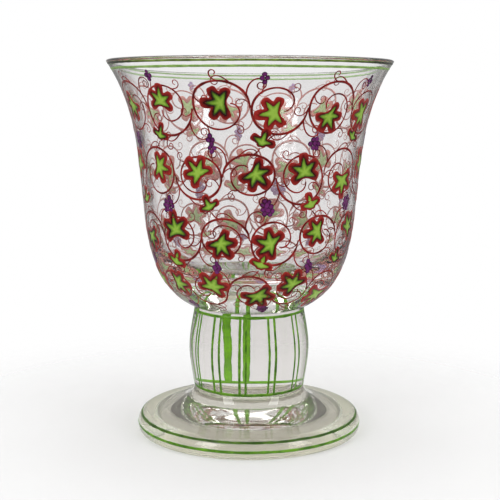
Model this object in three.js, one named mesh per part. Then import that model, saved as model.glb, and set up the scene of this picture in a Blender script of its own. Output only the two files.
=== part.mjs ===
import * as THREE from 'three';

// Goblet of clear glass: a bell bowl on a solid barrel stem and a trumpet foot, fused while hot,
// with lines of fired enamel round the lip, the stem and the foot.
// Millimetres, +Z up. The origin is on the ground under the centre of the foot, and -Y is the front.

// Foot
const FOOT_HEIGHT = 17.3;
const FOOT_RADIUS = 46.1;
const FOOT_WIDEST_HEIGHT = 3.0;
const FOOT_EDGE_HEIGHT = 7.6;
const FOOT_TOP_ROUNDING = 4.4;
const FOOT_BASE_ROUNDING = 0.8;
const STANDING_RING_WIDTH = 7.0;
const UNDERSIDE_RISE = 4.6;

// Stem
const STEM_HEIGHT = 33.9;
const STEM_BASE_RADIUS = 22.6;
const STEM_TOP_RADIUS = 22.4;
const STEM_BELLY_RADIUS = 24.65;
const STEM_BELLY_HEIGHT = 17.0;

// Bowl
const BOWL_HEIGHT = 99.4;
const BOWL_WAIST_HEIGHT = 48.8;
const BOWL_WAIST_RADIUS = 43.7;
const BOWL_WALL = 2.2;
const BOWL_FLOOR = 9.0;
const LIP_RADIUS = 57.25;
const LIP_WIDTH = 3.1;
const LIP_ROUNDING = 0.75;

// Enamel lines, each height and distance measured to the middle of a line. The two stripes of a pair
// are apart by a whole number of stripe widths, and the turn of the first pair is in degrees.
const ENAMEL_DEPTH = 0.15;
const LINE_WIDTH = 1.0;
const RIM_LINE_BELOW_LIP_EDGE = 0.95;
const LIP_LINE_BELOW_RIM_LINE = 2.0;
const STEM_LINE_FROM_END = 1.3;
const FOOT_UPPER_LINE_HEIGHT = 6.4;
const FOOT_LOWER_LINE_HEIGHT = 3.0;
const STRIPE_PAIRS = 13;
const STRIPE_WIDTH = 1.0;
const WIDTHS_BETWEEN_STRIPES = 3;
const FIRST_PAIR_TURN = -5;

// Shares of a curve's own height and width that its handles reach, which set how full the curve is
const TRUMPET_FLAT_SHARE = 0.58;
const TRUMPET_CLIMB_SHARE = 0.65;
const TRUMPET_CLIMB_WIDTH_SHARE = 0.11;
const STEM_SHOULDER_SHARE = 0.35;
const HIP_WIDTH_SHARE = 0.9;
const HIP_HEIGHT_SHARE = 0.162;
const WAIST_HANDLE_BELOW = 0.35;
const WAIST_HANDLE_ABOVE = 0.395;
const LIP_HANDLE = 0.32;
const FLOOR_HANDLE = 0.97;
const INNER_WAIST_HANDLE = 0.58;

// Slope of the foot's top at its edge, as height gained for each millimetre inward, and slopes of the
// bowl's wall, as width gained for each millimetre of height
const FOOT_EDGE_SLOPE = 0.16;
const WAIST_SLOPE = 0.098;
const LIP_SLOPE = 0.65;
const INNER_LIP_SLOPE = 0.53;

// Facets and steps of the round stretches
const WIDE_FACETS = 60;
const CURVE_STEPS = 10;
const EDGE_STEPS = 4;
const STEM_STEPS = 3;
const UNDERSIDE_STEPS = 10;

const CLEAR_GLASS = { color: 0xe4e3df, roughness: 0.04, metalness: 0, transparent: true, opacity: 0.4 };
const GREEN_ENAMEL = { color: 0x4f9a2c, roughness: 0.3, metalness: 0 };
const RIM_ENAMEL = { color: 0x3f5a2a, roughness: 0.3, metalness: 0 };

// The stem's facets: each stripe is one facet wide, and every pair takes the same number of them.
const PAIR_FACETS = Math.round((2 * Math.PI * STEM_BELLY_RADIUS) / (STRIPE_PAIRS * STRIPE_WIDTH));
const STEM_FACETS = PAIR_FACETS * STRIPE_PAIRS;
const FIRST_PAIR_MIDDLE = (FIRST_PAIR_TURN / 360) * STEM_FACETS;
const FIRST_STRIPE_FACET = Math.round(FIRST_PAIR_MIDDLE - (WIDTHS_BETWEEN_STRIPES + 1) / 2);

const point = (radius, height) => new THREE.Vector2(radius, height);

function ellipseArc(centre, reach, rise, fromAngle, toAngle) {
  return Array.from({ length: EDGE_STEPS + 1 }, (_, i) => {
    const angle = THREE.MathUtils.lerp(fromAngle, toAngle, i / EDGE_STEPS);
    return point(centre.x + reach * Math.cos(angle), centre.y + rise * Math.sin(angle));
  });
}

// One outline from several stretches, where each stretch starts on the last point of the one before
function chain(...stretches) {
  return stretches.flatMap((points, i) => points.slice(i === 0 ? 0 : 1));
}

function radiusAt(outline, height) {
  const upper = Math.max(1, outline.findIndex((p) => p.y >= height));
  const [low, high] = [outline[upper - 1], outline[upper]];
  return THREE.MathUtils.mapLinear(height, low.y, high.y, low.x, high.x);
}

// The outline with a point more at each height, so that an enamel line's edges are points of the glass
function withHeights(outline, heights) {
  const added = heights.map((height) => point(radiusAt(outline, height), height));
  return [...outline, ...added].sort((a, b) => a.y - b.y);
}

// Low and high edge of an enamel line whose middle is at a height
const lineEdges = (height) => [height - LINE_WIDTH / 2, height + LINE_WIDTH / 2];

const between = (outline, [low, high]) => outline.filter((p) => p.y >= low && p.y <= high);

function turned(profile, facets) {
  const geometry = new THREE.LatheGeometry(profile, facets);
  geometry.rotateX(Math.PI / 2);
  return geometry;
}

// Outline of the foot, from its standing ring up over the rounded edge and along the trumpet
const standingRadius = FOOT_RADIUS - FOOT_BASE_ROUNDING;
const slopeRadius = FOOT_RADIUS - FOOT_TOP_ROUNDING;
const slopeWidth = slopeRadius - STEM_BASE_RADIUS;
const slopeRise = FOOT_HEIGHT - FOOT_EDGE_HEIGHT;
const flatReach = TRUMPET_FLAT_SHARE * slopeWidth;
const footLines = [FOOT_LOWER_LINE_HEIGHT, FOOT_UPPER_LINE_HEIGHT].map(lineEdges);
const footOutline = withHeights(chain(
  ellipseArc(
    point(standingRadius, FOOT_WIDEST_HEIGHT),
    FOOT_BASE_ROUNDING,
    FOOT_WIDEST_HEIGHT,
    -Math.PI / 2,
    0,
  ),
  ellipseArc(
    point(slopeRadius, FOOT_WIDEST_HEIGHT),
    FOOT_TOP_ROUNDING,
    FOOT_EDGE_HEIGHT - FOOT_WIDEST_HEIGHT,
    0,
    Math.PI / 2,
  ),
  new THREE.CubicBezierCurve(
    point(slopeRadius, FOOT_EDGE_HEIGHT),
    point(slopeRadius - flatReach, FOOT_EDGE_HEIGHT + FOOT_EDGE_SLOPE * flatReach),
    point(
      STEM_BASE_RADIUS + TRUMPET_CLIMB_WIDTH_SHARE * slopeWidth,
      FOOT_HEIGHT - TRUMPET_CLIMB_SHARE * slopeRise,
    ),
    point(STEM_BASE_RADIUS, FOOT_HEIGHT),
  ).getPoints(CURVE_STEPS),
), footLines.flat());

// Outline of the stem, from its joint with the foot to its joint with the bowl
const stemBase = FOOT_HEIGHT;
const stemTop = stemBase + STEM_HEIGHT;
const bellyZ = stemBase + STEM_BELLY_HEIGHT;
const stemLines = [stemBase + STEM_LINE_FROM_END, stemTop - STEM_LINE_FROM_END].map(lineEdges);
function barrelHalf(endRadius, endZ) {
  const rise = bellyZ - endZ;
  return new THREE.CubicBezierCurve(
    point(endRadius, endZ),
    point(THREE.MathUtils.lerp(endRadius, STEM_BELLY_RADIUS, STEM_SHOULDER_SHARE), endZ + rise / 3),
    point(STEM_BELLY_RADIUS, bellyZ - rise / 3),
    point(STEM_BELLY_RADIUS, bellyZ),
  ).getPoints(STEM_STEPS);
}
const stemOutline = withHeights(
  chain(barrelHalf(STEM_BASE_RADIUS, stemBase), barrelHalf(STEM_TOP_RADIUS, stemTop).reverse()),
  stemLines.flat(),
);

// Outline of the bowl's outside, from its joint with the stem to the edge of the rounded lip
const lipZ = stemTop + BOWL_HEIGHT;
const lipEdgeZ = lipZ - LIP_ROUNDING;
const waistZ = stemTop + BOWL_WAIST_HEIGHT;
const flareHeight = lipEdgeZ - waistZ;
const rimLineHeight = lipEdgeZ - RIM_LINE_BELOW_LIP_EDGE;
const bowlLines = [rimLineHeight - LIP_LINE_BELOW_RIM_LINE, rimLineHeight].map(lineEdges);
function flare(waistRadius, edgeRadius, edgeSlope) {
  const waistHandle = WAIST_HANDLE_ABOVE * flareHeight;
  const lipHandle = LIP_HANDLE * flareHeight;
  return new THREE.CubicBezierCurve(
    point(waistRadius, waistZ),
    point(waistRadius + WAIST_SLOPE * waistHandle, waistZ + waistHandle),
    point(edgeRadius - edgeSlope * lipHandle, lipEdgeZ - lipHandle),
    point(edgeRadius, lipEdgeZ),
  ).getPoints(CURVE_STEPS);
}
function cupBelowWaist(start, startHandle, waistRadius, waistHandleShare) {
  const waistHandle = waistHandleShare * (waistZ - start.y);
  return new THREE.CubicBezierCurve(
    start,
    startHandle,
    point(waistRadius - WAIST_SLOPE * waistHandle, waistZ - waistHandle),
    point(waistRadius, waistZ),
  ).getPoints(CURVE_STEPS);
}
const hipHandle = point(
  THREE.MathUtils.lerp(STEM_TOP_RADIUS, BOWL_WAIST_RADIUS, HIP_WIDTH_SHARE),
  stemTop + HIP_HEIGHT_SHARE * BOWL_WAIST_HEIGHT,
);
const bowlOutline = withHeights(chain(
  cupBelowWaist(point(STEM_TOP_RADIUS, stemTop), hipHandle, BOWL_WAIST_RADIUS, WAIST_HANDLE_BELOW),
  flare(BOWL_WAIST_RADIUS, LIP_RADIUS, LIP_SLOPE),
), bowlLines.flat());

// Outline of the bowl's inside, from the middle of its floor to the edge of the rounded lip
const innerWaistRadius = BOWL_WAIST_RADIUS - BOWL_WALL;
const innerLipRadius = LIP_RADIUS - LIP_WIDTH;
const floorZ = stemTop + BOWL_FLOOR;
const cupOutline = chain(
  cupBelowWaist(
    point(0, floorZ),
    point(FLOOR_HANDLE * innerWaistRadius, floorZ),
    innerWaistRadius,
    INNER_WAIST_HANDLE,
  ),
  flare(innerWaistRadius, innerLipRadius, INNER_LIP_SLOPE),
);

function bowlGeometry() {
  const lipMiddle = point(LIP_RADIUS - LIP_WIDTH / 2, lipEdgeZ);
  const lip = ellipseArc(lipMiddle, LIP_WIDTH / 2, LIP_ROUNDING, 0, Math.PI);
  const profile = chain([point(0, stemTop), ...bowlOutline], lip, [...cupOutline].reverse());
  return turned(profile, WIDE_FACETS);
}

function stemGeometry() {
  return turned([point(0, stemBase), ...stemOutline, point(0, stemTop)], STEM_FACETS);
}

// The underside is a hollow within the flat ring that the goblet stands on. Its section is a squared
// oval: nearly flat in the middle and steep at the ring.
function footGeometry() {
  const hollowRadius = standingRadius - STANDING_RING_WIDTH;
  const underside = Array.from({ length: UNDERSIDE_STEPS }, (_, i) => {
    const angle = (Math.PI / 2) * (i / UNDERSIDE_STEPS);
    return point(hollowRadius * Math.sqrt(Math.sin(angle)), UNDERSIDE_RISE * Math.sqrt(Math.cos(angle)));
  });
  underside.push(point(hollowRadius, 0));
  return turned([...underside, ...footOutline, point(0, FOOT_HEIGHT)], WIDE_FACETS);
}

// A line round the glass: its back lies on the glass, and its face stands out by the enamel's depth.
function ringGeometry(outline, edges, facets) {
  const back = between(outline, edges);
  const face = back.map((p) => point(p.x + ENAMEL_DEPTH, p.y));
  return turned([...face, ...back.reverse(), face[0]], facets);
}

// A closed bar through sections of four corners, which go clockwise seen from the first end
function barGeometry(sections) {
  const last = 4 * (sections.length - 1);
  const faces = [[0, 1, 2, 3], [last + 3, last + 2, last + 1, last]];
  for (let start = 0; start < last; start += 4) {
    for (let side = 0; side < 4; side += 1) {
      const next = (side + 1) % 4;
      faces.push([start + next, start + side, start + side + 4, start + next + 4]);
    }
  }
  const geometry = new THREE.BufferGeometry().setFromPoints(sections.flat());
  geometry.setIndex(faces.flatMap(([a, b, c, d]) => [a, b, c, a, c, d]));
  geometry.computeVertexNormals();
  return geometry;
}

// An upright stripe over one facet of the stem, from the stem's lower line to its upper one
function stripeGeometry(facet) {
  const edgeAngles = [facet, facet + 1].map((index) => (2 * Math.PI * index) / STEM_FACETS);
  const corner = (radius, angle, height) => (
    new THREE.Vector3(radius * Math.sin(angle), -radius * Math.cos(angle), height)
  );
  const [left, right] = edgeAngles;
  const sections = between(stemOutline, [stemLines[0][1], stemLines[1][0]]).map(({ x, y }) => [
    corner(x, left, y),
    corner(x, right, y),
    corner(x + ENAMEL_DEPTH, right, y),
    corner(x + ENAMEL_DEPTH, left, y),
  ]);
  return barGeometry(sections);
}

function addPart(name, geometry, finish) {
  const mesh = new THREE.Mesh(geometry, new THREE.MeshStandardMaterial(finish));
  mesh.name = name;
  goblet.add(mesh);
}

function addStripes() {
  for (let stripe = 0; stripe < 2 * STRIPE_PAIRS; stripe += 1) {
    const pairFacet = Math.floor(stripe / 2) * PAIR_FACETS;
    const facet = FIRST_STRIPE_FACET + pairFacet + (stripe % 2) * WIDTHS_BETWEEN_STRIPES;
    const number = String(stripe + 1).padStart(2, '0');
    addPart(`stem_stripe_${number}`, stripeGeometry(facet), GREEN_ENAMEL);
  }
}

const goblet = new THREE.Group();
addPart('bowl', bowlGeometry(), CLEAR_GLASS);
addPart('stem', stemGeometry(), CLEAR_GLASS);
addPart('foot', footGeometry(), CLEAR_GLASS);
addPart('rim_line', ringGeometry(bowlOutline, bowlLines[1], WIDE_FACETS), RIM_ENAMEL);
addPart('lip_line', ringGeometry(bowlOutline, bowlLines[0], WIDE_FACETS), GREEN_ENAMEL);
addPart('stem_top_line', ringGeometry(stemOutline, stemLines[1], STEM_FACETS), GREEN_ENAMEL);
addPart('stem_bottom_line', ringGeometry(stemOutline, stemLines[0], STEM_FACETS), GREEN_ENAMEL);
addPart('foot_upper_line', ringGeometry(footOutline, footLines[1], WIDE_FACETS), GREEN_ENAMEL);
addPart('foot_lower_line', ringGeometry(footOutline, footLines[0], WIDE_FACETS), GREEN_ENAMEL);
addStripes();

export default goblet;
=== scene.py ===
import math
import random

import bpy
from mathutils import Matrix, Vector


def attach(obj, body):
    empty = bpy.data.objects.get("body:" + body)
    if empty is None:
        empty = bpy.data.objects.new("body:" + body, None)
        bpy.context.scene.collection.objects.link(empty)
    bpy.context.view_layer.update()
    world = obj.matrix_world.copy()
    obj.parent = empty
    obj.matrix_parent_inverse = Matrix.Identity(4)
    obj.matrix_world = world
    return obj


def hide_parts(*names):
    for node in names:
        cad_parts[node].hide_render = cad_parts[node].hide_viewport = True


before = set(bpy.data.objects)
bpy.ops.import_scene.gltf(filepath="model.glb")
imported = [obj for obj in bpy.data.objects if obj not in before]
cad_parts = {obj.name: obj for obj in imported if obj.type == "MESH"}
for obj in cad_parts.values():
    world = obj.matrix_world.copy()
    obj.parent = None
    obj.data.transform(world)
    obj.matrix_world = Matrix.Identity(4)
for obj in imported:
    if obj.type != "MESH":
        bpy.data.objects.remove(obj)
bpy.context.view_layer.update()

# Sizes of the goblet in millimetres, as in its CAD source. Heights are over the ground.
FOOT_RADIUS, FOOT_WIDEST, FOOT_EDGE = 46.1, 3.0, 7.6
FOOT_TOP_ROUNDING, FOOT_BASE_ROUNDING = 4.4, 0.8
FOOT_EDGE_SLOPE = 0.16
STANDING_RING, UNDERSIDE_RISE = 7.0, 4.6
HOLLOW_RADIUS = FOOT_RADIUS - FOOT_BASE_ROUNDING - STANDING_RING
STEM_BASE, STEM_TOP = 17.3, 51.2
STEM_BASE_RADIUS, STEM_TOP_RADIUS = 22.6, 22.4
BELLY, BELLY_RADIUS = 34.3, 24.65
CUP_FLOOR, WAIST, LIP_EDGE = 60.2, 100.0, 149.85
WAIST_RADIUS, LIP_RADIUS = 43.7, 57.25
WALL, LIP_WIDTH, LIP_ROUNDING = 2.2, 3.1, 0.75
WAIST_SLOPE, LIP_SLOPE, INNER_LIP_SLOPE = 0.098, 0.65, 0.53
LINE_WIDTH = 1.0
RIM_LINE_DROP, LIP_LINE_GAP, STEM_LINE_INSET = 0.95, 2.0, 1.3
FOOT_UPPER_LINE, FOOT_LOWER_LINE = 6.4, 3.0

# Shares of a curve's own height and width that its handles reach, as in the CAD source
TRUMPET_FLAT_SHARE, TRUMPET_CLIMB_SHARE, TRUMPET_CLIMB_WIDTH_SHARE = 0.58, 0.65, 0.11
STEM_SHOULDER_SHARE = 0.35
HIP_WIDTH_SHARE, HIP_HEIGHT_SHARE = 0.9, 0.162
WAIST_HANDLE_BELOW, WAIST_HANDLE_ABOVE, INNER_WAIST_HANDLE = 0.35, 0.395, 0.58
LIP_HANDLE, FLOOR_HANDLE = 0.32, 0.97

# Sizes that only the finished look has, in millimetres
LIP_GLASS_DEPTH = 0.3
STEM_LINE_HALF, FOOT_LINE_HALF = 0.57, 0.58
STRIPE_HALF_RANGE = (0.46, 0.58)
STRIPE_LEAN = 0.25
LINE_WANDER, LEAF_WANDER = 0.12, 1.1

MM = 0.001
FACETS = 240

# How near two heights or two points count as one, in metres
SAME_HEIGHT = WELD = 0.000001
STROKE_WELD = 0.000004


# Outlines: lists of (radius, height) in millimetres, from below upwards


def curve(first, leaving, arriving, last, steps):
    """Points of a cubic curve between two points, which leaves and arrives by its handles."""
    points = []
    handles = (first, leaving, arriving, last)
    for step in range(steps + 1):
        t = step / steps
        u = 1 - t
        shares = (u**3, 3 * u * u * t, 3 * u * t * t, t**3)
        points.append(tuple(sum(s * h[axis] for s, h in zip(shares, handles)) for axis in (0, 1)))
    return points


def arc(middle, reach, rise, start, end):
    """Points of an oval arc from one angle to another, in radians."""
    steps = 10
    angles = [start + (end - start) * step / steps for step in range(steps + 1)]
    return [(middle[0] + reach * math.cos(a), middle[1] + rise * math.sin(a)) for a in angles]


def joined(*stretches):
    """One outline from stretches that each start where the one before ends."""
    return list(stretches[0]) + [point for stretch in stretches[1:] for point in stretch[1:]]


def foot_outline():
    """From the standing ring over the rounded edge and along the trumpet to the stem."""
    standing = FOOT_RADIUS - FOOT_BASE_ROUNDING
    slope = FOOT_RADIUS - FOOT_TOP_ROUNDING
    width, rise = slope - STEM_BASE_RADIUS, STEM_BASE - FOOT_EDGE
    flat, tuck = TRUMPET_FLAT_SHARE * width, TRUMPET_CLIMB_WIDTH_SHARE * width
    drop = TRUMPET_CLIMB_SHARE * rise
    return joined(
        arc((standing, FOOT_WIDEST), FOOT_BASE_ROUNDING, FOOT_WIDEST, -math.pi / 2, 0),
        arc((slope, FOOT_WIDEST), FOOT_TOP_ROUNDING, FOOT_EDGE - FOOT_WIDEST, 0, math.pi / 2),
        curve(
            (slope, FOOT_EDGE),
            (slope - flat, FOOT_EDGE + FOOT_EDGE_SLOPE * flat),
            (STEM_BASE_RADIUS + tuck, STEM_BASE - drop),
            (STEM_BASE_RADIUS, STEM_BASE),
            steps=28,
        ),
    )


def barrel_half(radius, height):
    """Half of the stem, from one of its ends to its belly."""
    rise = BELLY - height
    shoulder = radius + STEM_SHOULDER_SHARE * (BELLY_RADIUS - radius)
    return curve(
        (radius, height),
        (shoulder, height + rise / 3),
        (BELLY_RADIUS, BELLY - rise / 3),
        (BELLY_RADIUS, BELLY),
        steps=16,
    )


def stem_outline():
    """From the joint with the foot to the joint with the bowl."""
    return joined(
        barrel_half(STEM_BASE_RADIUS, STEM_BASE), barrel_half(STEM_TOP_RADIUS, STEM_TOP)[::-1]
    )


def below_waist(start, handle, radius, share):
    """The bowl's lower wall, which arrives upright at the waist."""
    reach = share * (WAIST - start[1])
    arriving = (radius - WAIST_SLOPE * reach, WAIST - reach)
    return curve(start, handle, arriving, (radius, WAIST), steps=44)


def flare(waist_radius, lip_radius, slope):
    """The bowl's upper wall, from the waist out to the lip."""
    rise = LIP_EDGE - WAIST
    low, high = WAIST_HANDLE_ABOVE * rise, LIP_HANDLE * rise
    return curve(
        (waist_radius, WAIST),
        (waist_radius + WAIST_SLOPE * low, WAIST + low),
        (lip_radius - slope * high, LIP_EDGE - high),
        (lip_radius, LIP_EDGE),
        steps=36,
    )


def bowl_outline():
    """From the joint with the stem round the hip and up to the edge of the lip."""
    hip = (
        STEM_TOP_RADIUS + HIP_WIDTH_SHARE * (WAIST_RADIUS - STEM_TOP_RADIUS),
        STEM_TOP + HIP_HEIGHT_SHARE * (WAIST - STEM_TOP),
    )
    return joined(
        below_waist((STEM_TOP_RADIUS, STEM_TOP), hip, WAIST_RADIUS, WAIST_HANDLE_BELOW),
        flare(WAIST_RADIUS, LIP_RADIUS, LIP_SLOPE),
    )


def cup_outline():
    """From the middle of the cup's floor up to the edge of the lip."""
    radius = WAIST_RADIUS - WALL
    return joined(
        below_waist((0, CUP_FLOOR), (FLOOR_HANDLE * radius, CUP_FLOOR), radius, INNER_WAIST_HANDLE),
        flare(radius, LIP_RADIUS - LIP_WIDTH, INNER_LIP_SLOPE),
    )


def bowl_section():
    """Half of the bowl's cut face, from its joint round the lip and down inside."""
    middle = (LIP_RADIUS - LIP_WIDTH / 2, LIP_EDGE)
    lip = arc(middle, LIP_WIDTH / 2, LIP_ROUNDING, 0, math.pi)
    return joined([(0, STEM_TOP), *bowl_outline()], lip, cup_outline()[::-1])


def stem_section():
    """Half of the stem's cut face."""
    return [(0, STEM_BASE), *stem_outline(), (0, STEM_TOP)]


def foot_section():
    """Half of the foot's cut face. The hollow inside its standing ring is a squared oval."""
    steps = 32
    angles = [0.5 * math.pi * step / steps for step in range(steps)]
    underside = [
        (HOLLOW_RADIUS * math.sqrt(math.sin(a)), UNDERSIDE_RISE * math.sqrt(math.cos(a)))
        for a in angles
    ]
    return [*underside, (HOLLOW_RADIUS, 0.0), *foot_outline(), (0, STEM_BASE)]


def lengths_along(outline):
    """How far each point of an outline is from its start, measured along it."""
    lengths = [0.0]
    for here, there in zip(outline, outline[1:]):
        lengths.append(lengths[-1] + math.dist(here, there))
    return lengths


def read_off(value, known, wanted):
    """Reads one rising list of numbers against another, as on a graph."""
    for i in range(1, len(known)):
        if known[i] >= value or i == len(known) - 1:
            share = (value - known[i - 1]) / (known[i] - known[i - 1])
            return wanted[i - 1] + share * (wanted[i] - wanted[i - 1])


def length_at_height(outline, height):
    """How far along an outline a height is reached."""
    return read_off(height, [p[1] for p in outline], lengths_along(outline))


# Node trees: a Wire is a node's output that works in Python's expressions, and a Bench adds nodes to a tree


class Wire:
    def __init__(self, bench, node, socket):
        self.bench = bench
        self.node = node
        self.socket = socket

    def out(self, name):
        """Another output of the same node."""
        return Wire(self.bench, self.node, self.node.outputs[name])

    def maths(self, operation, *others):
        return self.bench.put("ShaderNodeMath", {"operation": operation}, [self, *others])

    def __add__(self, other):
        return self.maths("ADD", other)

    __radd__ = __add__

    def __sub__(self, other):
        return self.maths("SUBTRACT", other)

    def __rsub__(self, other):
        return self.bench.put("ShaderNodeMath", {"operation": "SUBTRACT"}, [other, self])

    def __mul__(self, other):
        return self.maths("MULTIPLY", other)

    __rmul__ = __mul__

    def __truediv__(self, other):
        return self.maths("DIVIDE", other)


class Bench:
    def __init__(self, tree):
        self.tree = tree

    def put(self, kind, settings=None, sockets=None):
        """Adds a node, sets how it works, then gives its sockets their values or wires."""
        node = self.tree.nodes.new(kind)
        for name, value in (settings or {}).items():
            if name == "stops":
                self.set_stops(node.color_ramp, value)
            else:
                setattr(node, name, value)
        open_sockets = [socket for socket in node.inputs if socket.enabled]
        named = {socket.name: socket for socket in reversed(open_sockets)}
        given = sockets or {}
        pairs = given.items() if isinstance(given, dict) else enumerate(given)
        for key, value in pairs:
            socket = named[key] if isinstance(key, str) else open_sockets[key]
            if isinstance(value, Wire):
                self.tree.links.new(value.socket, socket)
            elif value is not None:
                socket.default_value = value
        outputs = [socket for socket in node.outputs if socket.enabled]
        return Wire(self, node, outputs[0]) if outputs else None

    @staticmethod
    def set_stops(ramp, stops):
        for _ in range(len(stops) - 2):
            ramp.elements.new(0.5)
        for element, (place, tone) in zip(ramp.elements, stops):
            element.position = place
            element.color = tone

    def vector(self, x, y, z):
        return self.put("ShaderNodeCombineXYZ", None, [x, y, z])

    def parts(self, vector):
        """The three numbers of a vector."""
        split = self.put("ShaderNodeSeparateXYZ", None, [vector])
        return split.out("X"), split.out("Y"), split.out("Z")

    def blend(self, share, first, second):
        """A colour that goes from the first to the second as the share goes from 0 to 1."""
        return self.put("ShaderNodeMix", {"data_type": "RGBA"}, [share, first, second])

    def ramp(self, share, *stops):
        return self.put("ShaderNodeValToRGB", {"stops": stops}, [share])

    def eased(self, value, low, high, lowest=0.0, highest=1.0):
        """Goes smoothly from lowest to highest as the value goes from low to high."""
        settings = {"interpolation_type": "SMOOTHSTEP"}
        return self.put("ShaderNodeMapRange", settings, [value, low, high, lowest, highest])

    def carried(self, name):
        """A number that a mesh carries under a name, for its finish."""
        return self.put("ShaderNodeAttribute", {"attribute_name": name}).out("Fac")

    def read_mark(self, name):
        """A number that points carry under a name, for their shaping."""
        return self.put("GeometryNodeInputNamedAttribute", {"data_type": "FLOAT"}, {"Name": name})

    def mark(self, geometry, name, value):
        """Gives the points of a geometry a number to carry under a name."""
        settings = {"data_type": "FLOAT", "domain": "POINT"}
        sockets = {"Geometry": geometry, "Name": name, "Value": value}
        return self.put("GeometryNodeStoreNamedAttribute", settings, sockets)

    def noise(self, where, scale, detail=2.0, seed=0.0):
        """Soft blotches from 0 to 1, finer with a larger scale, and others for another seed."""
        settings = {"noise_dimensions": "4D"}
        sockets = {"Vector": where, "W": seed, "Scale": scale, "Detail": detail}
        return self.put("ShaderNodeTexNoise", settings, sockets)


# Finishes


def colour(red, green, blue):
    """A colour of the screen, from 0 to 255, as the light values that a shader takes."""

    def linear(value):
        value /= 255
        return value / 12.92 if value <= 0.04045 else ((value + 0.055) / 1.055) ** 2.4

    return (linear(red), linear(green), linear(blue), 1.0)


def new_object(name, data):
    """An object of its own in the scene."""
    made = bpy.data.objects.new(name, data)
    bpy.context.scene.collection.objects.link(made)
    return made


def new_finish(name):
    """An empty material, and the bench that its nodes are put on."""
    finish = bpy.data.materials.new(name)
    finish.use_nodes = True
    finish.node_tree.nodes.clear()
    return finish, Bench(finish.node_tree)


def finished(bench, surface):
    """Ends a material with its surface."""
    bench.put("ShaderNodeOutputMaterial", None, {"Surface": surface})


def underside_wear_and_shade(bench, place):
    """How much a point lies in the hollow under the foot, and on the flat ring that it stands on."""
    x, y, z = bench.parts(place)
    away = (x * x + y * y).maths("SQRT")
    spare = 0.2
    inner, outer = 0.98 * HOLLOW_RADIUS * MM, 0.997 * HOLLOW_RADIUS * MM
    within = bench.eased(away, inner, outer, lowest=1.0, highest=0.0)
    hollow = within * z.maths("LESS_THAN", (UNDERSIDE_RISE + spare) * MM)
    ring = z.maths("LESS_THAN", spare * MM) * (1.0 - hollow)
    return hollow, ring


def clear_glass(name, clear, edge, waviness, darkens=(0.5, 0.85), lamps=0.93, hollow_shade=0.0):
    """
    Glass that darkens where it is seen edge on, which is painted shade standing in for the darker
    surroundings seen in its edges, and that lets so much of the lamps' light through.
    Given a share of painted shade, it is the foot's: worn on its standing ring, and dull in its hollow,
    where that share of a dark layer is mixed in as painted shade.
    """
    finish, bench = new_finish(name)
    place = bench.put("ShaderNodeTexCoord").out("Object")
    facing = bench.put("ShaderNodeLayerWeight", None, {"Blend": 0.5}).out("Facing")
    # Painted shade: the tint goes toward the edge colour where the glass is seen edge on
    tint = bench.blend(bench.eased(facing, *darkens), clear, edge)
    waves = bench.noise(place, scale=60.0, detail=1.0, seed=3.0)
    relief = {"Strength": waviness, "Distance": 0.4 * MM, "Height": waves}
    patches = bench.noise(place, scale=35.0, detail=3.0, seed=8.0)
    roughness = bench.eased(patches, low=0.5, high=0.8, lowest=0.0, highest=0.03)
    if hollow_shade:
        hollow, ring = underside_wear_and_shade(bench, place)
        hollow_wear, ring_wear = 0.035, 0.6
        roughness = roughness + hollow * hollow_wear + ring * ring_wear
    glass = bench.put(
        "ShaderNodeBsdfPrincipled",
        None,
        {
            "Base Color": tint,
            "Roughness": roughness,
            "IOR": 1.5,
            "Transmission Weight": 1.0,
            "Normal": bench.put("ShaderNodeBump", None, relief),
        },
    )
    if hollow_shade:
        # Painted shade: a dark, dull layer mixed in over the hollow under the foot, by the share given
        painted_shade_sockets = {"Base Color": (0.14, 0.12, 0.10, 1), "Roughness": 0.5}
        dull = bench.put("ShaderNodeBsdfPrincipled", None, painted_shade_sockets)
        glass = bench.put("ShaderNodeMixShader", None, [hollow * hollow_shade, glass, dull])
    warmth = 0.01
    passed = (lamps, lamps, lamps - warmth, 1.0)
    lit = bench.put("ShaderNodeBsdfTransparent", None, {"Color": passed})
    shadow = bench.put("ShaderNodeLightPath").out("Is Shadow Ray")
    finished(bench, bench.put("ShaderNodeMixShader", None, [shadow, glass, lit]))
    return finish


def fused_joint():
    """Nothing shows where two gathers of glass are fused into one."""
    finish, bench = new_finish("fused joint")
    finished(bench, bench.put("ShaderNodeBsdfTransparent"))
    return finish


def fired(finish, bench, face, underside, streaks, roughness=0.28):
    """Fired enamel: a glossy, slightly uneven face, and a paler colour where it is seen through the glass,
    which is painted light for light shining through the thin enamel from behind.
    """
    under = bench.carried("under")
    relief = {"Strength": 0.35, "Distance": 0.05 * MM, "Height": streaks}
    smoothest, roughest = roughness - 0.06, roughness + 0.1
    paint = bench.put(
        "ShaderNodeBsdfPrincipled",
        None,
        {
            # Painted light: the underside's paler colour stands in for light that comes through the enamel
            # from behind
            "Base Color": bench.blend(under, face, underside),
            "Roughness": bench.eased(streaks, 0.3, 0.7, smoothest, roughest),
            "Specular IOR Level": 0.15,
            "Coat Weight": 0.08,
            "Coat Roughness": 0.1,
            "Normal": bench.put("ShaderNodeBump", None, relief),
        },
    )
    finished(bench, paint)
    return finish


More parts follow.
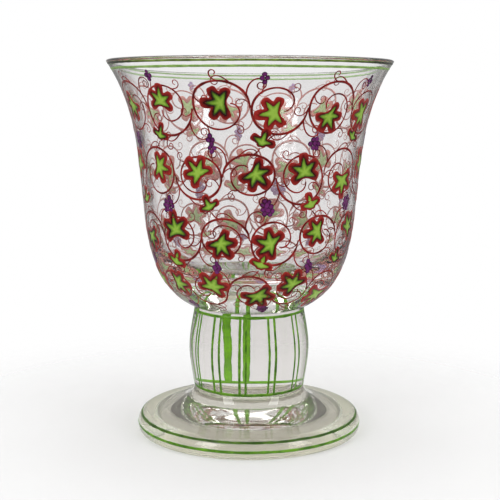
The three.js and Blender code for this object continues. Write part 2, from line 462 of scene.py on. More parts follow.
def enamel(name, thin, thick, underside, edge_on_shade=None):
    """Brushed enamel, lighter where it is thin, and turning to a colour of painted shade where it is seen
    edge on, if one is given.
    """
    finish, bench = new_finish(name)
    place = bench.put("ShaderNodeTexCoord").out("Object")
    pools = bench.noise(place, scale=260.0, seed=1.0)
    streaks = bench.noise(place, scale=1500.0, seed=5.0)
    thickness = bench.eased(pools * 0.6 + streaks * 0.4, low=0.36, high=0.62)
    face = bench.blend(thickness, thin, thick)
    shows_below = 0.4
    below = bench.blend(thickness * shows_below, underside, thick)
    if edge_on_shade:
        # Painted shade: the enamel darkens toward this colour where it is seen edge on
        facing = bench.put("ShaderNodeLayerWeight", None, {"Blend": 0.5}).out("Facing")
        face = bench.blend(bench.eased(facing, low=0.3, high=0.65), face, edge_on_shade)
    return fired(finish, bench, face, below, streaks)


def leaf_enamel(name, edge, field, middle, underside, roughness=0.28):
    """Enamel of leaves or berries, whose colour changes from the edge inward and from one to the next."""
    finish, bench = new_finish(name)
    place = bench.put("ShaderNodeTexCoord").out("Object")
    across, shade = bench.carried("across"), bench.carried("shade")
    streaks = bench.noise(place, scale=900.0, seed=5.0)
    streakiness, variety = 0.35, 0.4
    depth = across + (streaks - 0.5) * streakiness + (shade - 0.5) * variety
    face = bench.ramp(depth, (0.0, edge), (0.32, field), (0.9, middle))
    return fired(finish, bench, face, underside, streaks, roughness)


BOWL_GLASS = clear_glass(
    "thin clear glass",
    clear=(0.87, 0.86, 0.86, 1),
    edge=(0.06, 0.045, 0.035, 1),
    waviness=0.10,
)
# Painted shade: the lip darkens to near black where it is seen edge on
LIP_GLASS = clear_glass(
    "rounded lip glass",
    clear=(0.95, 0.95, 0.93, 1),
    edge=(0.012, 0.008, 0.005, 1),
    waviness=0.06,
    darkens=(0.32, 0.75),
)
SOLID_GLASS = clear_glass(
    "solid clear glass",
    clear=(0.73, 0.705, 0.685, 1),
    edge=(0.14, 0.12, 0.10, 1),
    waviness=0.14,
)
FOOT_GLASS = clear_glass(
    "thick foot glass",
    clear=(0.83, 0.81, 0.72, 1),
    edge=(0.75, 0.73, 0.64, 1),
    waviness=0.20,
    lamps=0.72,
    # Painted shade: a dark layer over the hollow under the foot
    hollow_shade=0.4,
)
FUSED = fused_joint()
GREEN_LINE = enamel(
    "green brushed enamel",
    thin=colour(114, 168, 46),
    thick=colour(62, 110, 22),
    underside=colour(132, 204, 28),
)
DEEP_GREEN_LINE = enamel(
    "deep green brushed enamel",
    thin=colour(80, 118, 34),
    thick=colour(44, 74, 18),
    underside=colour(120, 188, 30),
)
LIP_LINE = enamel(
    "lip line enamel",
    thin=colour(172, 212, 116),
    thick=colour(130, 170, 84),
    underside=colour(150, 184, 120),
)
RIM_LINE = enamel(
    "dark rim enamel",
    thin=colour(152, 176, 84),
    thick=colour(92, 110, 48),
    underside=colour(148, 184, 116),
    # Painted shade: the rim line goes nearly black where it is seen edge on, at the goblet's sides
    edge_on_shade=colour(36, 38, 16),
)
RED_SCROLL = enamel(
    "red brushed enamel",
    thin=colour(170, 44, 40),
    thick=colour(92, 12, 12),
    underside=colour(206, 146, 138),
)
BERRY = leaf_enamel(
    "purple berry enamel",
    edge=colour(24, 2, 20),
    field=colour(62, 4, 58),
    middle=colour(122, 44, 114),
    underside=colour(166, 138, 172),
    roughness=0.2,
)
LEAF_HEART = leaf_enamel(
    "green leaf enamel",
    edge=colour(62, 78, 24),
    field=colour(116, 160, 44),
    middle=colour(166, 206, 78),
    underside=colour(178, 200, 142),
)
LEAF_BORDER = leaf_enamel(
    "red leaf enamel",
    edge=colour(44, 8, 6),
    field=colour(116, 18, 16),
    middle=colour(172, 44, 38),
    underside=colour(206, 142, 132),
)


# Shaping: trees that turn, sweep and lay pieces


def new_tree(name, *inputs):
    """A tree from a geometry to a geometry with named inputs, and the wires of those inputs."""
    tree = bpy.data.node_groups.new(name, "GeometryNodeTree")
    sides = tree.interface
    sides.new_socket("Geometry", in_out="OUTPUT", socket_type="NodeSocketGeometry")
    sides.new_socket("Geometry", in_out="INPUT", socket_type="NodeSocketGeometry")
    for label, kind in inputs:
        sides.new_socket(label, in_out="INPUT", socket_type="NodeSocket" + kind)
    bench = Bench(tree)
    start = bench.put("NodeGroupInput")
    return bench, {socket.name: start.out(socket.name) for socket in start.node.outputs if socket.name}


def end_tree(bench, geometry, finishes):
    """Ends a tree: real geometry, smooth faces, and each finish where its selection says."""
    geometry = bench.put("GeometryNodeRealizeInstances", None, {"Geometry": geometry})
    geometry = bench.put("GeometryNodeSetShadeSmooth", None, {"Geometry": geometry})
    for finish, chosen in finishes:
        sockets = {"Geometry": geometry, "Material": finish, "Selection": chosen}
        geometry = bench.put("GeometryNodeSetMaterial", None, sockets)
    bench.put("NodeGroupOutput", None, {"Geometry": geometry})
    return bench.tree


def turning_tree():
    """Turns a cut face round the upright axis: fused at the joints' heights, lip glass over the lip's."""
    bench, given = new_tree(
        "turned glass",
        ("Facets", "Int"),
        ("Lower joint", "Float"),
        ("Upper joint", "Float"),
        ("Lip edge", "Float"),
        ("Glass", "Material"),
        ("Fused", "Material"),
        ("Lip glass", "Material"),
    )
    section = given["Geometry"]
    count = bench.put("GeometryNodeAttributeDomainSize", None, {"Geometry": section})
    facets = given["Facets"]
    net = bench.put("GeometryNodeMeshGrid", None, {"Vertices X": facets + 1, "Vertices Y": count})
    index = bench.put("GeometryNodeInputIndex")
    row = index.maths("MODULO", count)
    turn = (index - row) / count / facets * (2 * math.pi)
    place = bench.put("GeometryNodeInputPosition")
    point = bench.put(
        "GeometryNodeSampleIndex",
        {"data_type": "FLOAT_VECTOR"},
        {"Geometry": section, "Value": place, "Index": row},
    )
    turned = bench.put(
        "ShaderNodeVectorRotate", {"rotation_type": "Z_AXIS"}, {"Vector": point, "Angle": turn}
    )
    glass = bench.put("GeometryNodeSetPosition", None, {"Geometry": net, "Position": turned})
    weld = {"Geometry": glass, "Distance": WELD}
    glass = bench.put("GeometryNodeMergeByDistance", None, weld)
    height = bench.parts(place)[2]
    at_lower = height.maths("COMPARE", given["Lower joint"], SAME_HEIGHT)
    at_upper = height.maths("COMPARE", given["Upper joint"], SAME_HEIGHT)
    finishes = [
        (given["Glass"], None),
        (given["Fused"], at_lower + at_upper),
        (given["Lip glass"], height.maths("GREATER_THAN", given["Lip edge"])),
    ]
    return end_tree(bench, glass, finishes)


LAYING_INPUTS = (("Outline", "Object"), ("Round", "Float"))


def laying_group():
    """Lays a drawing on the glass: its x runs round, its y up the outline, and z is its height."""
    bench, given = new_tree("laid on the glass", *LAYING_INPUTS)
    x, y, z = bench.parts(bench.put("GeometryNodeInputPosition"))
    guide = bench.put("GeometryNodeObjectInfo", None, {"Object": given["Outline"]}).out("Geometry")
    guide = bench.put("GeometryNodeMeshToCurve", None, [guide])
    spot = bench.put(
        "GeometryNodeSampleCurve",
        {"mode": "LENGTH", "use_all_curves": True, "data_type": "FLOAT"},
        {"Curves": guide, "Length": y},
    )
    radius, _, height = bench.parts(spot.out("Position"))
    outward, _, upward = bench.parts(spot.out("Tangent"))
    reach = radius + upward * z
    turn = x / given["Round"]
    laid = bench.vector(
        reach * turn.maths("SINE"), reach * turn.maths("COSINE") * -1.0, height - outward * z
    )
    sockets = {"Geometry": given["Geometry"], "Position": laid}
    geometry = bench.put("GeometryNodeSetPosition", None, sockets)
    bench.put("NodeGroupOutput", None, {"Geometry": geometry})
    return bench.tree


LAYING = laying_group()


def laid(bench, geometry, given):
    """A drawing laid on the glass of the guide that the tree was given."""
    sockets = {"Geometry": geometry, "Outline": given["Outline"], "Round": given["Round"]}
    return bench.put("GeometryNodeGroup", {"node_tree": LAYING}, sockets)


def brushing_tree():
    """Sweeps a low rounded section along drawn lines, with an unsteady hand, and lays them."""
    bench, given = new_tree(
        "brushed lines",
        *LAYING_INPUTS,
        ("Seed", "Float"),
        ("Wander", "Float"),
        ("Unevenness", "Float"),
        ("Flatness", "Float"),
        ("Closed ends", "Bool"),
        ("Enamel", "Material"),
    )
    around = given["Round"]
    x, y, _ = bench.parts(bench.put("GeometryNodeInputPosition"))
    turn = x / around
    where = bench.vector(turn.maths("COSINE") * around, turn.maths("SINE") * around, y)
    seed = given["Seed"]
    sway = bench.noise(where, scale=90.0, detail=1.0, seed=seed) - 0.5
    lift = bench.noise(where, scale=90.0, detail=1.0, seed=seed + 7.0) - 0.5
    swell = bench.noise(where, scale=320.0, seed=seed + 13.0) - 0.5
    # A noise less a half goes from -0.5 to 0.5, so twice the wander is how far a line strays either way
    wander = given["Wander"] * 2.0
    offset = bench.vector(sway * wander, lift * wander, 0.0)
    lines = bench.put(
        "GeometryNodeSetPosition", None, {"Geometry": given["Geometry"], "Offset": offset}
    )
    wide = bench.read_mark("wide")
    lines = bench.mark(lines, "wide", wide * (1.0 + swell * given["Unevenness"]))
    path = bench.put("GeometryNodeMeshToCurve", None, [lines])
    path = bench.put("GeometryNodeSetCurveNormal", {"mode": "Z_UP"}, {"Curve": path})
    ring = bench.put("GeometryNodeCurvePrimitiveCircle", None, {"Resolution": 8, "Radius": 1.0})
    flat = given["Flatness"]
    raised = 0.35
    section = bench.put(
        "GeometryNodeTransform",
        None,
        {
            "Geometry": ring,
            "Translation": bench.vector(0.0, flat * raised, 0.0),
            "Scale": bench.vector(1.0, flat, 1.0),
        },
    )
    strokes = bench.put(
        "GeometryNodeCurveToMesh",
        None,
        {"Curve": path, "Profile Curve": section, "Scale": wide, "Fill Caps": given["Closed ends"]},
    )
    under = bench.parts(bench.put("GeometryNodeInputPosition"))[2].maths("LESS_THAN", 0.0)
    strokes = laid(bench, bench.mark(strokes, "under", under), given)
    weld = {"Geometry": strokes, "Distance": STROKE_WELD}
    strokes = bench.put("GeometryNodeMergeByDistance", None, weld)
    return end_tree(bench, strokes, [(given["Enamel"], None)])


def stamping_tree():
    """Puts a painted shape at each marked spot, keeps its width true, and lays it."""
    bench, given = new_tree(
        "painted shapes",
        *LAYING_INPUTS,
        ("Shape", "Object"),
        ("Wander", "Float"),
        ("Enamel", "Material"),
    )
    shape = bench.put("GeometryNodeObjectInfo", None, {"Object": given["Shape"]}).out("Geometry")
    size = bench.read_mark("size")
    shapes = bench.put(
        "GeometryNodeInstanceOnPoints",
        None,
        {
            "Points": given["Geometry"],
            "Instance": shape,
            "Rotation": bench.vector(0.0, 0.0, bench.read_mark("turn")),
            "Scale": bench.vector(size, size, 1.0),
        },
    )
    shapes = bench.put("GeometryNodeRealizeInstances", None, {"Geometry": shapes})
    x, y, z = bench.parts(bench.put("GeometryNodeInputPosition"))
    middle, stretch = bench.read_mark("middle"), bench.read_mark("stretch")
    drawn = bench.vector(x, y, 0.0)
    sway = (bench.noise(drawn, scale=260.0, detail=1.0, seed=61.0) - 0.5) * given["Wander"]
    lift = (bench.noise(drawn, scale=260.0, detail=1.0, seed=67.0) - 0.5) * given["Wander"]
    true = bench.vector(middle + (x + sway - middle) * stretch, y + lift, z)
    shapes = bench.put("GeometryNodeSetPosition", None, {"Geometry": shapes, "Position": true})
    shapes = bench.mark(shapes, "under", z.maths("LESS_THAN", 0.0))
    return end_tree(bench, laid(bench, shapes, given), [(given["Enamel"], None)])


def mesh_of(name, points, edges=(), faces=(), **marks):
    """A mesh of points in millimetres, with a list of numbers at its points for each mark."""
    mesh = bpy.data.meshes.new(name)
    mesh.from_pydata([tuple(MM * value for value in point) for point in points], edges, faces)
    for label, values in marks.items():
        mesh.attributes.new(label, "FLOAT", "POINT").data.foreach_set("value", values)
    return mesh


def shaped(name, start, tree, inputs):
    """A new object with the plain mesh that a tree makes from a starting mesh and its inputs."""
    piece = new_object(name, start)
    tool = piece.modifiers.new("shaping", "NODES")
    tool.node_group = tree
    for item in tree.interface.items_tree:
        if item.in_out == "INPUT" and item.name in inputs:
            tool[item.identifier] = inputs[item.name]
    graph = bpy.context.evaluated_depsgraph_get()
    mesh = bpy.data.meshes.new_from_object(
        piece.evaluated_get(graph), preserve_all_data_layers=True, depsgraph=graph
    )
    piece.modifiers.remove(tool)
    piece.data = mesh
    mesh.name = name
    return piece


def in_place(piece, slot, *nodes):
    """Fixes a finished piece to the goblet, in the place of the CAD nodes that it stands for."""
    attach(piece, "root")
    for node in nodes:
        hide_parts(node)
    return piece


# Glass

TURNING = turning_tree()


def turned_glass(name, section, joints, glass):
    """A body of glass turned from its cut face, with the heights of its lower and upper joint."""
    points = [(radius, 0.0, height) for radius, height in section]
    piece = shaped(
        name,
        mesh_of(name, points),
        TURNING,
        {
            "Facets": FACETS,
            "Lower joint": joints[0] * MM,
            "Upper joint": joints[1] * MM,
            "Lip edge": (LIP_EDGE - LIP_GLASS_DEPTH) * MM,
            "Glass": glass,
            "Fused": FUSED,
            "Lip glass": LIP_GLASS,
        },
    )
    sharp_from = math.radians(50)
    piece.data.set_sharp_from_angle(angle=sharp_from)
    return in_place(piece, "clear_glass", name.replace("glass_", ""))


turned_glass("glass_foot", foot_section(), (STEM_BASE, STEM_BASE), FOOT_GLASS)
turned_glass("glass_stem", stem_section(), (STEM_BASE, STEM_TOP), SOLID_GLASS)
turned_glass("glass_bowl", bowl_section(), (STEM_TOP, STEM_TOP), BOWL_GLASS)


# Enamel lines

BRUSHING = brushing_tree()
STAMPING = stamping_tree()


def guide_of(name, outline):
    """An outline as a hidden helper that drawings are laid along."""
    edges = [(i, i + 1) for i in range(len(outline) - 1)]
    return new_object(name, mesh_of(name, [(radius, 0.0, height) for radius, height in outline], edges))


FOOT_GUIDE = guide_of("foot guide", foot_outline())
STEM_GUIDE = guide_of("stem guide", stem_outline())
BOWL_GUIDE = guide_of("bowl guide", bowl_outline())


def drawing(name, strokes):
    """Strokes, each a list of (x, y, half width) in millimetres, as one mesh of drawn lines."""
    points, edges, wide = [], [], []
    for stroke in strokes:
        start = len(points)
        points += [(x, y, 0.0) for x, y, _ in stroke]
        wide += [half * MM for _, _, half in stroke]
        edges += [(i, i + 1) for i in range(start, len(points) - 1)]
    return mesh_of(name, points, edges, wide=wide)


def brushed(name, strokes, guide, around, finish, seed, closed_ends=True, flatness=0.24):
    """Strokes of enamel on the glass of a guide, drawn round it at a radius."""
    return shaped(
        name,
        drawing(name, strokes),
        BRUSHING,
        {
            "Outline": guide,
            "Round": around * MM,
            "Seed": seed,
            "Wander": LINE_WANDER * MM,
            "Unevenness": 0.7,
            "Flatness": flatness,
            "Closed ends": closed_ends,
            "Enamel": finish,
        },
    )


def ring_line(node, guide, outline, height, finish, slot, seed, half_width=0.5 * LINE_WIDTH):
    """A brushed line right round the glass, whose middle is at a height."""
    around = read_off(height, [p[1] for p in outline], [p[0] for p in outline])
    y = length_at_height(outline, height)
    steps = 360
    full = 2 * math.pi * around
    stroke = [(full * (step / steps - 0.5), y, half_width) for step in range(steps + 1)]
    piece = brushed("brushed_" + node, [stroke], guide, around, finish, seed, closed_ends=False)
    return in_place(piece, slot, node)


RIM_LINE_HEIGHT = LIP_EDGE - RIM_LINE_DROP
LIP_LINE_HEIGHT = RIM_LINE_HEIGHT - LIP_LINE_GAP
STEM_LINES = (STEM_BASE + STEM_LINE_INSET, STEM_TOP - STEM_LINE_INSET)

RIM_SEED, LIP_SEED, STEM_TOP_SEED, STEM_BOTTOM_SEED = 2.0, 11.0, 17.0, 23.0
FOOT_UPPER_SEED, FOOT_LOWER_SEED, STRIPE_SEED, SCROLL_SEED = 31.0, 37.0, 41.0, 53.0

ring_line("rim_line", BOWL_GUIDE, bowl_outline(), RIM_LINE_HEIGHT, RIM_LINE, "rim_enamel", RIM_SEED)
ring_line("lip_line", BOWL_GUIDE, bowl_outline(), LIP_LINE_HEIGHT, LIP_LINE, "green_enamel", LIP_SEED)
for node, height, seed in (
    ("stem_top_line", STEM_LINES[1], STEM_TOP_SEED),
    ("stem_bottom_line", STEM_LINES[0], STEM_BOTTOM_SEED),
):
    ring_line(
        node, STEM_GUIDE, stem_outline(), height, GREEN_LINE, "green_enamel", seed, STEM_LINE_HALF
    )
for node, height, finish, seed in (
    ("foot_upper_line", FOOT_UPPER_LINE, DEEP_GREEN_LINE, FOOT_UPPER_SEED),
    ("foot_lower_line", FOOT_LOWER_LINE, GREEN_LINE, FOOT_LOWER_SEED),
):
    ring_line(node, FOOT_GUIDE, foot_outline(), height, finish, "green_enamel", seed, FOOT_LINE_HALF)

# Of each pair of stripes: the turn of its middle and how far apart its stripes are, in degrees
STRIPE_PAIRS = (
    (-59.0, 4.4),
    (-33.0, 7.6),
    (-6.0, 6.0),
    (22.5, 6.5),
    (51.8, 6.5),
    (77.5, 7.0),
    (104.5, 6.5),
    (131.6, 7.0),
    (158.2, 6.5),
    (184.3, 6.8),
    (214.8, 7.0),
    (243.9, 6.5),
    (271.9, 7.0),
)


def stem_stripes():
    """Pairs of upright stripes between the stem's two lines, each drawn by hand."""
    hand = random.Random(5)
    low, high = [length_at_height(stem_outline(), height) for height in STEM_LINES]
    strokes = []
    for middle, apart in STRIPE_PAIRS:
        for side in (-0.5, 0.5):
            x = math.radians(middle + side * apart) * BELLY_RADIUS
            lean = hand.uniform(-STRIPE_LEAN, STRIPE_LEAN)
            wide = hand.uniform(*STRIPE_HALF_RANGE)
            steps = 40
            strokes.append(
                [
                    (x + lean * (step / steps - 0.5), low + (high - low) * step / steps, wide)
                    for step in range(steps + 1)
                ]
            )
    piece = brushed("brushed_stem_stripes", strokes, STEM_GUIDE, BELLY_RADIUS, GREEN_LINE, STRIPE_SEED)
    nodes = [f"stem_stripe_{number:02d}" for number in range(1, 2 * len(STRIPE_PAIRS) + 1)]
    return in_place(piece, "green_enamel", *nodes)


stem_stripes()


# Painted scrolls round the bowl

# A drawing's x is the way round at the reference radius, and its y the way up along the outline
ROUND = 44.0
SCROLLS = 14
PITCH = 2 * math.pi * ROUND / SCROLLS
ROWS = 4
LOWEST, ROW_GAP, HALF_ROW = 9.3, 4.6, 9.0
SWEEPS, HEIGHTS = (385, 540), (0.86, 1.05)
LARGE_SIZES, SMALL_SIZES, BERRY_SIZES = (1.08, 1.32), (1.1, 1.35), (0.92, 1.02)
RISE, ASIDE, STALK_RANGE = 0.5, 1.4, 8

BOWL_LINE = bowl_outline()
BOWL_LENGTHS = lengths_along(BOWL_LINE)


def spread(y):
    """How much wider a drawing gets at y than at the reference radius."""
    return read_off(y, BOWL_LENGTHS, [p[0] for p in BOWL_LINE]) / ROUND


def heading_of(stroke, i):
    """The way that a stroke goes at one of its points, as seen on the glass."""
    before, after = stroke[max(0, i - 1)], stroke[min(len(stroke) - 1, i + 1)]
    return math.atan2(after[1] - before[1], (after[0] - before[0]) * spread(stroke[i][1]))


def scroll(middle, wide, high, up, ahead, sweep, shift):
    """A stroke over its row's wave, then inward and a little aside to the place of a leaf."""
    turns_inward, closes_over, thickens_over = 2.4, 1.3, 0.5
    drawn_in, closed_in, thinned = 0.5, 0.42, 0.42
    finest = 0.24
    stroke, steps = [], 84
    for step in range(steps + 1):
        swept = sweep * step / steps
        inward = max(0.0, (swept - turns_inward) / (sweep - turns_inward))
        closing = max(0.0, swept - sweep + closes_over) / closes_over
        share = (1 - drawn_in * inward) * (1 - closed_in * closing**2)
        angle = math.pi - swept
        x = middle[0] + shift[0] * inward + ahead * wide * share * math.cos(angle)
        y = middle[1] + shift[1] * inward + up * high * share * math.sin(angle)
        half = finest + finest * min(1.0, swept / thickens_over)
        stroke.append((x, y, half * (1 - thinned * inward)))
    return stroke


def tendril(start, heading, length, bends, widths, ease=1.0):
    """A stroke whose bend goes from the first to the last of its two bends, in 1/mm."""
    step_length, fewest = 0.45, 8
    steps = max(fewest, int(length / step_length))
    x, y = start[0], start[1]
    stroke = [(x, y, widths[0])]
    for step in range(steps):
        share = (step + 0.5) / steps
        heading += (bends[0] + (bends[1] - bends[0]) * share**ease) * length / steps
        x += math.cos(heading) * length / steps / spread(y)
        y += math.sin(heading) * length / steps
        stroke.append((x, y, widths[0] + (widths[1] - widths[0]) * (step + 1) / steps))
    return stroke, heading


def shape_spot(end, heading, ahead, size, hand):
    """The mark of a painted shape whose middle is ahead of the end of its stalk."""
    x = end[0] + ahead * math.cos(heading) / spread(end[1])
    return (x, end[1] + ahead * math.sin(heading), heading, size, hand.random())


def berry_spots(end, heading, size, rows, hand):
    """The marks of a bunch of berries at the end of a stalk, in rows of so many berries."""
    first_row, row_gap, berry_gap = 0.8, 1.55, 1.8
    spots = []
    for row, count in enumerate(rows):
        ahead = first_row + row_gap * row
        for number in range(count):
            aside = berry_gap * (number - 0.5 * (count - 1)) + hand.uniform(-0.2, 0.2)
            away = size * math.hypot(ahead, aside)
            turned = heading + math.atan2(aside, ahead)
            spots.append(shape_spot(end, turned, away, size * hand.uniform(0.88, 1.06), hand))
    return spots


# Of each curl: where on its scroll it starts and how far it turns away, in degrees and radians, its
# length, its first and last bend, its first and last half width, and how late it bends
CURLS = (
    (30, 0.60, 22.0, (0.07, 1.05), (0.32, 0.18), 1.5),
    (66, 0.35, 14.0, (0.02, -1.10), (0.28, 0.16), 1.4),
    (150, -0.75, 12.0, (-0.10, -1.15), (0.26, 0.15), 1.3),
    (176, 0.40, 13.0, (0.06, 1.15), (0.26, 0.15), 1.4),
    (300, 0.30, 10.0, (0.12, 1.25), (0.22, 0.15), 1.2),
)
LONG_BUNCH, SHORT_BUNCH = (2, 3, 2, 1), (1, 2, 1)
LARGE_STALK, SMALL_STALK = 3.0, 2.2


def scrollwork():
    """All main strokes, tendrils, large and small leaves and berries of the running scrolls."""
    hand = random.Random(11)
    mains, tendrils, large, small, berries = [], [], [], [], []
    low = LOWEST
    for row in range(ROWS):
        high = 0.5 * PITCH * spread(low + HALF_ROW)
        ahead = 1 if row % 2 == 0 else -1
        for number in range(SCROLLS):
            up = 1 if number % 2 == 0 else -1
            side = up * ahead
            middle = (ahead * (number + 0.5 * (row % 2)) * PITCH, low + high + hand.uniform(-RISE, RISE))
            sweep = math.radians(hand.uniform(*SWEEPS))
            shift = (hand.uniform(-ASIDE, ASIDE), hand.uniform(-ASIDE, ASIDE))
            height = high * hand.uniform(*HEIGHTS)
            main = scroll(middle, 0.5 * PITCH, height, up, ahead, sweep, shift)
            mains.append(main)
            size = hand.uniform(*LARGE_SIZES)
            heading = heading_of(main, len(main) - 1)
            large.append(shape_spot(main[-1], heading, LARGE_STALK * size, size, hand))

            def branch(degrees, away, length, bends, widths, ease=1.0):
                """A tendril off the scroll, which gives its end and its heading there."""
                i = round((len(main) - 1) * math.radians(degrees) / sweep)
                start = heading_of(main, i) + side * away
                turned = (side * bends[0], side * bends[1])
                stroke, heading = tendril(main[i], start, length, turned, widths, ease)
                tendrils.append(stroke)
                return stroke[-1], heading

            if up > 0 and row < ROWS - 1:
                place = 96 + hand.uniform(-STALK_RANGE, STALK_RANGE)
                end, heading = branch(place, 0.5, 3.6, (0.10, 0.34), (0.34, 0.24))
                small.append(shape_spot(end, heading, SMALL_STALK, hand.uniform(*SMALL_SIZES), hand))
            else:
                branch(92, 0.30, 13.0 if up < 0 else 9.0, (0.12, 1.30), (0.30, 0.18), 1.4)
            place = 228 + hand.uniform(-STALK_RANGE, STALK_RANGE)
            end, heading = branch(place, 0.45, 3.4, (0.05, 0.25), (0.24, 0.18))
            rows = LONG_BUNCH if number % 3 == row % 3 and row < ROWS - 1 else SHORT_BUNCH
            berries += berry_spots(end, heading, hand.uniform(*BERRY_SIZES), rows, hand)
            for curl in CURLS:
                branch(*curl)
        low += 2 * high + ROW_GAP
    return mains, tendrils, large, small, berries


# Of a leaf's outline in millimetres: how far it reaches between its lobes, and of each lobe, from the tip
# round one side, its angle, how far it rises and its width
LARGE_LEAF = (2.4, ((0.0, 4.0, 0.44), (1.02, 3.5, 0.44), (2.02, 3.0, 0.46)))
SMALL_LEAF = (1.6, ((0.0, 2.8, 0.50), (1.35, 2.2, 0.50)))


def leaf_lines(leaf, count):
    """A leaf's inner outline, a star of pointed rays, and its outer one, with a round lobe at each ray."""
    between, lobes = leaf
    star, full = (0.6, 0.86, 0.6, 1.2), (1, 1, 1, 4)
    notch, notch_width = 0.22, 0.35

    def point(angle, low, tall, narrow, power):
        """A point of an outline whose lobes are so tall, narrow and blunt as its four shares say."""
        reach = low * between
        for middle, rise, wide in lobes:
            away = abs(abs(angle) - middle) / (narrow * wide)
            reach += tall * rise * math.exp(-(away**power))
        reach *= 1 - notch * math.exp(-(((math.pi - abs(angle)) / notch_width) ** 2))
        return (reach * math.cos(angle), reach * math.sin(angle))

    finer = 20
    steps = finer * count
    angles = [math.pi * (2 * step / steps - 1) for step in range(steps + 1)]
    lengths = lengths_along([point(angle, *full) for angle in angles])
    turns = [read_off(lengths[-1] * i / count, lengths, angles) for i in range(count)]
    inner = [point(turn, *star) for turn in turns]
    outer = [point(turn, *full) for turn in turns]
    return inner, outer


def stamp(name, rings, closed):
    """A shape from rings of points, joined in turn: closed on itself, or ending in two poles."""
    count = len(rings[0][0])
    points = [point for ring, _ in rings for point in ring]
    across = [mark for ring, mark in rings for _ in ring]
    faces = []
    for i in range(len(rings) if closed else len(rings) - 1):
        low, high = i * count, (i + 1) % len(rings) * count
        for j in range(count):
            k = (j + 1) % count
            faces.append((low + j, low + k, high + k, high + j))
    if not closed:
        top = (len(rings) - 1) * count
        for start, turn in ((0, -1), (top, 1)):
            middle = [sum(points[start + j][axis] for j in range(count)) / count for axis in range(3)]
            points.append(tuple(middle))
            across.append(across[start])
            pole = len(points) - 1
            for j in range(count):
                pair = (start + j, start + (j + 1) % count)
                faces.append((pair[::-1] if turn < 0 else pair) + (pole,))
    return new_object(name, mesh_of(name, points, (), faces, across=across))


def at_level(line, height, size=1.0):
    """A flat outline at a height over the glass, made smaller or larger."""
    return [(size * x, size * y, height) for x, y in line]


def border_shape(name, inner, outer):
    """A low rounded band of a leaf's border, between its two outlines."""
    outer_side = ((0.0, -0.05), (1.0, -0.05), (1.0, 0.05), (0.8, 0.13))
    inner_side = ((0.5, 0.16), (0.2, 0.13), (0.0, 0.05))
    rings = []
    for share, height in outer_side + inner_side:
        line = [
            (near[0] + share * (far[0] - near[0]), near[1] + share * (far[1] - near[1]))
            for near, far in zip(inner, outer)
        ]
        rings.append((at_level(line, height), share))
    return stamp(name, rings, closed=True)


def domed(name, line, levels):
    """A low dome over an outline. Each level has a size, a height and how far inward it counts."""
    rings = [(at_level(line, height, size), mark) for size, height, mark in levels]
    return stamp(name, rings, closed=False)


def heart_shape(name, inner):
    """The field of a leaf, a little under its border, highest in the middle."""
    low = ((0.3, -0.05, 1.0), (1.04, -0.05, 0.0), (1.04, 0.02, 0.0))
    high = ((0.84, 0.04, 0.3), (0.5, 0.07, 0.7), (0.2, 0.09, 1.0))
    return domed(name, inner, low + high)


def berry_shape(name):
    """A berry, one millimetre in radius."""
    low = ((0.5, -0.05, 0.0), (1.0, -0.05, 0.0), (1.0, 0.05, 0.0))
    high = ((0.85, 0.13, 0.4), (0.5, 0.17, 0.8))
    count = 14
    turns = [2 * math.pi * j / count for j in range(count)]
    return domed(name, [(math.cos(turn), math.sin(turn)) for turn in turns], low + high)


def stamped(name, spots, shape, finish, slot):
    """A painted shape at every spot, as one piece. The shape itself isn't kept."""
    round_it, up_it, turn, size, shade = zip(*spots)
    start = mesh_of(
        name,
        [(x, y, 0.0) for x, y in zip(round_it, up_it)],
        turn=turn,
        size=size,
        shade=shade,
        middle=[x * MM for x in round_it],
        stretch=[1 / spread(y) for y in up_it],
    )
    inputs = {
        "Outline": BOWL_GUIDE,
        "Round": ROUND * MM,
        "Shape": shape,
        "Wander": LEAF_WANDER * MM,
        "Enamel": finish,
    }
    piece = shaped(name, start, STAMPING, inputs)
    bpy.data.objects.remove(shape)
    return in_place(piece, slot)


def painted(name, strokes):
    """Red strokes on the bowl, as one piece."""
    piece = brushed(name, strokes, BOWL_GUIDE, ROUND, RED_SCROLL, SCROLL_SEED, flatness=0.26)
    return in_place(piece, "red_enamel")


MAINS, TENDRILS, LARGE_LEAVES, SMALL_LEAVES, BERRIES = scrollwork()
painted("painted_scrolls", MAINS)
painted("painted_tendrils", TENDRILS)
for borders, hearts, leaf, count, spots in (
    ("large_leaf_borders", "large_leaf_hearts", LARGE_LEAF, 90, LARGE_LEAVES),
    ("small_leaf_borders", "small_leaf_hearts", SMALL_LEAF, 54, SMALL_LEAVES),
):
    inner, outer = leaf_lines(leaf, count)
    border = border_shape("shape of " + borders, inner, outer)
    heart = heart_shape("shape of " + hearts, inner)
    stamped(borders, spots, border, LEAF_BORDER, "red_enamel")
    stamped(hearts, spots, heart, LEAF_HEART, "leaf_enamel")
stamped("painted_berries", BERRIES, berry_shape("shape of a berry"), BERRY, "purple_enamel")

for guide in (FOOT_GUIDE, STEM_GUIDE, BOWL_GUIDE):
    bpy.data.objects.remove(guide)


# Studio


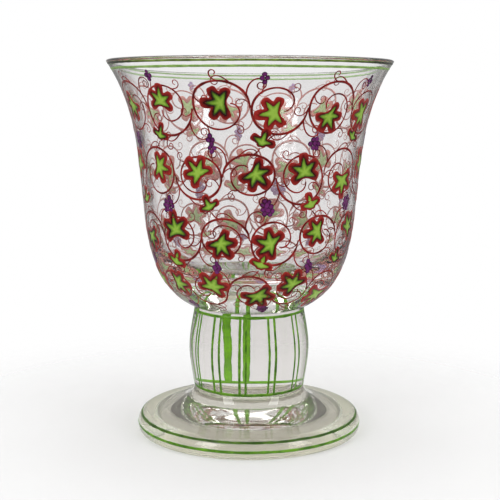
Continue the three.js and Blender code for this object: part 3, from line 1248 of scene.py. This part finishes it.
def studio_floor():
    """A pale round floor that fades into the white behind it."""
    radius, fades_from, fades_to = 0.6, 0.045, 0.192
    below_ground = 0.1 * MM
    finish, bench = new_finish("pale studio floor")
    place = bench.put("ShaderNodeTexCoord").out("Object")
    x, y, _ = bench.parts(place)
    reach = (x * x + y * y).maths("SQRT")
    grain = bench.noise(place, scale=400.0, detail=3.0)
    matt = bench.put(
        "ShaderNodeBsdfPrincipled",
        None,
        {
            "Base Color": bench.blend(grain, (0.95, 0.95, 0.95, 1), (0.97, 0.97, 0.97, 1)),
            "Roughness": 0.9,
            "Specular IOR Level": 0.1,
        },
    )
    gone = bench.put("ShaderNodeBsdfTransparent")
    fade = bench.eased(reach, fades_from, fades_to)
    finished(bench, bench.put("ShaderNodeMixShader", None, [fade, matt, gone]))
    count = 96
    turns = [2 * math.pi * i / count for i in range(count)]
    points = [(0.0, 0.0, 0.0)] + [(radius * math.cos(t), radius * math.sin(t), 0.0) for t in turns]
    mesh = bpy.data.meshes.new("studio_floor")
    mesh.from_pydata(points, [], [(0, i + 1, (i + 1) % count + 1) for i in range(count)])
    mesh.materials.append(finish)
    floor = new_object("studio_floor", mesh)
    floor.location.z = -below_ground


def studio_world():
    """White to the eye and in glass, with a darker horizon in reflections, and softer where it lights."""
    lighting, bright = 0.4, 1.0
    horizon, sky = 0.15, 0.7
    world = bpy.data.worlds.new("white studio")
    world.use_nodes = True
    world.node_tree.nodes.clear()
    bench = Bench(world.node_tree)
    path = bench.put("ShaderNodeLightPath")
    upward = bench.parts(bench.put("ShaderNodeTexCoord").out("Generated"))[2]
    mirrored = path.out("Is Glossy Ray") * bench.eased(upward, horizon, sky)
    seen = path.out("Is Camera Ray").maths("MAXIMUM", path.out("Is Transmission Ray"))
    strength = lighting + seen.maths("MAXIMUM", mirrored) * (bright - lighting)
    sockets = {"Color": (1.0, 1.0, 1.0, 1.0), "Strength": strength}
    background = bench.put("ShaderNodeBackground", None, sockets)
    bench.put("ShaderNodeOutputWorld", None, {"Surface": background})
    bpy.context.scene.world = world


def soft_light(name, place, target, size, power):
    """A lamp with a large face, in metres and watts, that looks at its target."""
    lamp = bpy.data.lights.new(name, "AREA")
    lamp.shape = "RECTANGLE"
    lamp.size, lamp.size_y = size
    lamp.energy = power
    light = new_object(name, lamp)
    light.location = place
    light.rotation_euler = (Vector(target) - Vector(place)).to_track_quat("-Z", "Y").to_euler()


def studio_camera():
    """The photo's view: from the front, a little above the lip's height, looking down."""
    lens = bpy.data.cameras.new("camera")
    lens.sensor_fit = "HORIZONTAL"
    lens.sensor_width = 36.0
    lens.lens = 77.1
    lens.clip_start = 0.01
    camera = new_object("camera", lens)
    camera.location = (0.00024, -0.4353, 0.1365)
    look_down, tilt = 8.2, 0.19
    pitch, roll = math.radians(90 - look_down), math.radians(tilt)
    turn = Matrix.Rotation(pitch, 3, "X") @ Matrix.Rotation(roll, 3, "Z")
    camera.rotation_euler = turn.to_euler()
    bpy.context.scene.camera = camera


studio_floor()
studio_world()
soft_light("left window", (-0.55, -0.55, 0.45), (0, 0, 0.08), (0.3, 0.5), 2.4)
soft_light("right window", (0.6, -0.4, 0.4), (0, 0, 0.08), (0.25, 0.5), 1.7)
soft_light("ceiling", (0.0, 0.15, 0.9), (0, 0, 0.05), (0.7, 0.7), 3.2)
studio_camera()
bpy.context.scene.view_settings.view_transform = "Standard"
